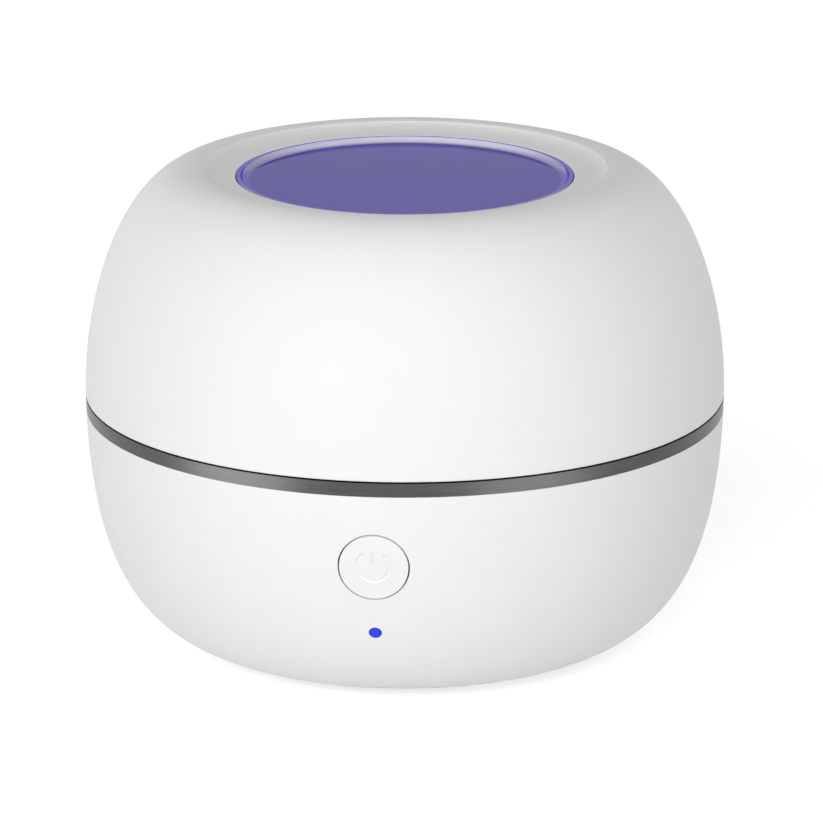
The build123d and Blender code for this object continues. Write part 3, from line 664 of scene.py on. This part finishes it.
def streaked(name, colour, rough, squeeze, line_size, depth):
    """Metal with fine lines across the squeezed direction of the piece. Sizes are in mm."""
    material, base = new_finish(name)
    base.inputs["Metallic"].default_value = 1.0
    place = add(material, "TexCoord")
    stretch = add(material, "Mapping", Scale=squeeze)
    lines = add(material, "TexNoise", Scale=1 / (line_size * mm), Detail=4)
    tone = add(material, "ValToRGB")
    dark, light = tone.color_ramp.elements
    dark.position = line_ramp_low
    light.position = line_ramp_high
    dark.color = (*[c * (1 - line_tone_spread) for c in colour], 1)
    light.color = (*[c * (1 + line_tone_spread) for c in colour], 1)
    gloss = add(
        material, "MapRange",
        To_Min=rough * (1 - line_gloss_spread), To_Max=rough * (1 + line_gloss_spread),
    )
    relief = add(material, "Bump", Strength=depth, Distance=line_height)
    join(material, place.outputs["Object"], stretch.inputs["Vector"])
    join(material, stretch.outputs["Vector"], lines.inputs["Vector"])
    join(material, lines.outputs["Fac"], tone.inputs["Fac"])
    join(material, tone.outputs["Color"], base.inputs["Base Color"])
    join(material, lines.outputs["Fac"], gloss.inputs["Value"])
    join(material, gloss.outputs["Result"], base.inputs["Roughness"])
    join(material, lines.outputs["Fac"], relief.inputs["Height"])
    join(material, relief.outputs["Normal"], base.inputs["Normal"])
    return material


print("helper: streaked")

# %% Dark band and steel
drawn_out = 0.5
dark_trim = streaked(
    "dark_trim", colour=(0.085, 0.085, 0.088), rough=0.3,
    squeeze=(1, 1, 30), line_size=6, depth=0.1,
)
trim_base = dark_trim.node_tree.nodes["Principled BSDF"]
trim_base.inputs["Anisotropic"].default_value = drawn_out
round_the_band = add(dark_trim, "Tangent", {"direction_type": "RADIAL", "axis": "Z"})
join(dark_trim, round_the_band.outputs["Tangent"], trim_base.inputs["Tangent"])
finishes["dark_trim"] = dark_trim
finishes["steel"] = streaked(
    "steel", colour=(0.56, 0.56, 0.58), rough=0.28,
    squeeze=(1, 1, 12), line_size=2, depth=0.1,
)
print("finishes", len(finishes))

# %% [markdown]
# ## The violet window
# The window is a shallow tray of clear violet plastic: a flat rim, a hollow that sweeps down from
# it, and a flat field. Clear plastic is paler where the eye looks straight at a wall, and deeper
# where it looks along it, so the hollow is pale at the back and a strong blue at the sides. It
# could be traced as glass, but its colour would then hang on what lies under it, so the tints are
# set here. The distance from the tray's middle tells the field from the hollow, and the layer
# weight, which grows as the view slants, gives the depth of the hollow's colour. A little light
# still passes through.

# %% Window field and hollow
field_edge = 21.6 * mm
hollow_edge = 21.95 * mm
swirl_size = 14 * mm
violet_lens, lens_base = new_finish("violet_lens")
lens_base.inputs["Roughness"].default_value = 0.07
lens_base.inputs["IOR"].default_value = 1.12
lens_place = add(violet_lens, "TexCoord")
lens_flat = add(violet_lens, "VectorMath", {"operation": "MULTIPLY"})
lens_flat.inputs[1].default_value = (1, 1, 0)
lens_reach = add(violet_lens, "VectorMath", {"operation": "LENGTH"})
zone = add(violet_lens, "MapRange", From_Min=field_edge, From_Max=hollow_edge)
join(violet_lens, lens_place.outputs["Object"], lens_flat.inputs[0])
join(violet_lens, lens_flat.outputs["Vector"], lens_reach.inputs[0])
join(violet_lens, lens_reach.outputs["Value"], zone.inputs["Value"])
swirl = add(violet_lens, "TexNoise", Scale=1 / swirl_size, Detail=2)
field_tint = add(violet_lens, "ValToRGB")
field_tint.color_ramp.elements[0].color = (0.085, 0.062, 0.53, 1)
field_tint.color_ramp.elements[1].color = (0.11, 0.085, 0.6, 1)
join(violet_lens, lens_place.outputs["Object"], swirl.inputs["Vector"])
join(violet_lens, swirl.outputs["Fac"], field_tint.inputs["Fac"])
print("field to", round(field_edge / mm, 2), "hollow from", round(hollow_edge / mm, 2))

# %% Window colours and clearness
straight_view = 0.3
middle_view = 0.68
slanting_view = 0.8
pale_tint = (0.85, 0.83, 0.93, 1)
middle_tint = (0.4, 0.38, 0.64, 1)
deep_tint = (0.08, 0.035, 0.92, 1)
lens_clearness = 0.14
lens_slant = add(violet_lens, "LayerWeight", Blend=0.5)
hollow_tint = add(violet_lens, "ValToRGB")
hollow_ramp = hollow_tint.color_ramp.elements
hollow_ramp[0].position = straight_view
hollow_ramp[0].color = pale_tint
hollow_ramp[1].position = slanting_view
hollow_ramp[1].color = deep_tint
hollow_ramp.new(middle_view).color = middle_tint
join(violet_lens, lens_slant.outputs["Facing"], hollow_tint.inputs["Fac"])
lens_colour = add(violet_lens, "Mix", {"data_type": "RGBA"})
join(violet_lens, zone.outputs["Result"], lens_colour.inputs["Factor"])
join(violet_lens, field_tint.outputs["Color"], lens_colour.inputs[6])
join(violet_lens, hollow_tint.outputs["Color"], lens_colour.inputs[7])
join(violet_lens, lens_colour.outputs[2], lens_base.inputs["Base Color"])
lens_through = add(violet_lens, "BsdfTransparent", Color=(0.42, 0.36, 0.95, 1))
lens_mix = add(violet_lens, "MixShader", Fac=lens_clearness)
lens_out = violet_lens.node_tree.nodes["Material Output"]
join(violet_lens, lens_base.outputs[0], lens_mix.inputs[1])
join(violet_lens, lens_through.outputs[0], lens_mix.inputs[2])
join(violet_lens, lens_mix.outputs[0], lens_out.inputs["Surface"])
finishes["violet_lens"] = violet_lens
print("window clearness", lens_clearness)

# %% [markdown]
# ## The status light
# The light is the end of a small clear rod with a blue lamp behind it. Its middle is bright, and
# its rim is darker because the rod's wall turns the light inwards. A lamp inside a clear rod would
# take long to trace, so the rod's end glows by itself, less towards its rim.

# %% Light finish
light_middle = Vector((0, -41.9, 13.4)) * mm
bright_radius = 0.5 * mm
rim_radius = 0.8 * mm
light_blue, light_base = new_finish("light_blue")
light_base.inputs["Base Color"].default_value = (0.006, 0.015, 0.16, 1)
light_base.inputs["Roughness"].default_value = 0.35
light_base.inputs["Specular IOR Level"].default_value = 0.15
light_base.inputs["Emission Strength"].default_value = 0.75
light_place = add(light_blue, "TexCoord")
from_middle = add(light_blue, "VectorMath", {"operation": "DISTANCE"})
from_middle.inputs[1].default_value = light_middle
rim_share = add(light_blue, "MapRange", From_Min=bright_radius, From_Max=rim_radius)
beam = add(light_blue, "ValToRGB")
beam.color_ramp.elements[0].color = (0.012, 0.06, 1.0, 1)
beam.color_ramp.elements[1].color = (0.03, 0.045, 0.36, 1)
join(light_blue, light_place.outputs["Object"], from_middle.inputs[0])
join(light_blue, from_middle.outputs["Value"], rim_share.inputs["Value"])
join(light_blue, rim_share.outputs["Result"], beam.inputs["Fac"])
join(light_blue, beam.outputs["Color"], light_base.inputs["Emission Color"])
finishes["light_blue"] = light_blue
print("light middle", [round(v / mm, 2) for v in light_middle])

# %% [markdown]
# ## Clear quartz
# The disc over the lamps is polished quartz, which lets the short light through and shows the lamp
# board under it. Most of it is simply see-through, and a share that mirrors grows as the view
# slants. This is quicker than traced glass and looks the same on so thin a disc.

# %% Quartz finish
slant_start = 0.5
mirror_least = 0.08
mirror_most = 0.7
quartz, quartz_base = new_finish("quartz")
quartz_base.inputs["Roughness"].default_value = 0.05
quartz_base.inputs["Base Color"].default_value = (0.8, 0.84, 0.9, 1)
see_through = add(quartz, "BsdfTransparent", Color=(0.93, 0.95, 1, 1))
quartz_slant = add(quartz, "LayerWeight", Blend=0.5)
mirror_share = add(
    quartz, "MapRange", From_Min=slant_start, To_Min=mirror_least, To_Max=mirror_most
)
quartz_mix = add(quartz, "MixShader")
quartz_out = quartz.node_tree.nodes["Material Output"]
join(quartz, quartz_slant.outputs["Facing"], mirror_share.inputs["Value"])
join(quartz, mirror_share.outputs["Result"], quartz_mix.inputs["Fac"])
join(quartz, see_through.outputs[0], quartz_mix.inputs[1])
join(quartz, quartz_base.outputs[0], quartz_mix.inputs[2])
join(quartz, quartz_mix.outputs[0], quartz_out.inputs["Surface"])
finishes["quartz"] = quartz
print("quartz mirrors", mirror_least, "to", mirror_most)

# %% [markdown]
# ## Circuit boards and the ribbon
# A board is a coloured lacquer over copper lines. Bricks with thin mortar make a fair picture of
# such lines, because both run in straight rows with right-angled steps. The ribbon has only lines
# along its length, so its pattern is squeezed to nothing in the other directions.

# %% Helper for boards
brick_spread = 0.1
line_softness = 0.1
line_relief = 0.3
lacquer_height = 0.03 * mm


def lined(name, ground, line, size, rough, mortar, squeeze=(1, 1, 1)):
    """A lacquer with thin straight lines of another tone, a little raised. Sizes are in mm."""
    material, base = new_finish(name)
    base.inputs["Roughness"].default_value = rough
    place = add(material, "TexCoord")
    stretch = add(material, "Mapping", Scale=squeeze)
    rows = add(
        material, "TexBrick",
        Scale=1 / (size * mm), Mortar_Size=mortar, Mortar_Smooth=line_softness,
    )
    rows.inputs["Color1"].default_value = (*ground, 1)
    rows.inputs["Color2"].default_value = (*[c * (1 - brick_spread) for c in ground], 1)
    rows.inputs["Mortar"].default_value = (*line, 1)
    relief = add(material, "Bump", Strength=line_relief, Distance=lacquer_height)
    join(material, place.outputs["Object"], stretch.inputs["Vector"])
    join(material, stretch.outputs["Vector"], rows.inputs["Vector"])
    join(material, rows.outputs["Color"], base.inputs["Base Color"])
    join(material, rows.outputs["Fac"], relief.inputs["Height"])
    join(material, relief.outputs["Normal"], base.inputs["Normal"])
    return material


print("helper: lined")

# %% Board and ribbon finishes
lined_looks = {
    "board": dict(ground=(0.03, 0.14, 0.06), line=(0.08, 0.3, 0.12), size=3, rough=0.4,
                  mortar=0.08),
    "lamp_board_metal": dict(ground=(0.8, 0.8, 0.78), line=(0.6, 0.6, 0.58), size=4, rough=0.42,
                             mortar=0.05),
    "ribbon": dict(ground=(0.5, 0.22, 0.05), line=(0.75, 0.4, 0.1), size=1, rough=0.35,
                   mortar=0.2, squeeze=(1, 0, 0)),
}
for name, look in lined_looks.items():
    finishes[name] = lined(name, **look)
print("finishes", len(finishes))

# %% [markdown]
# ## Dressing the pieces
# Every engineering node came with a plain colour that is named after its finish. The finish of
# that name takes its place, on the nodes and on the four finer copies, and the shapes stay as they
# are.

# %% Dress the pieces
def wear(piece, finish_name):
    """Puts a finish on every slot of a piece."""
    for slot in piece.material_slots:
        slot.material = finishes[finish_name]


for node in frame["nodes"].values():
    wear(node, node.data.materials[0].name.split(".")[0])
for piece in (power_cap, *screw_sets):
    wear(piece, piece["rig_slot"])
print("dressed", len(frame["nodes"]), "nodes and", 1 + len(screw_sets), "finer copies")
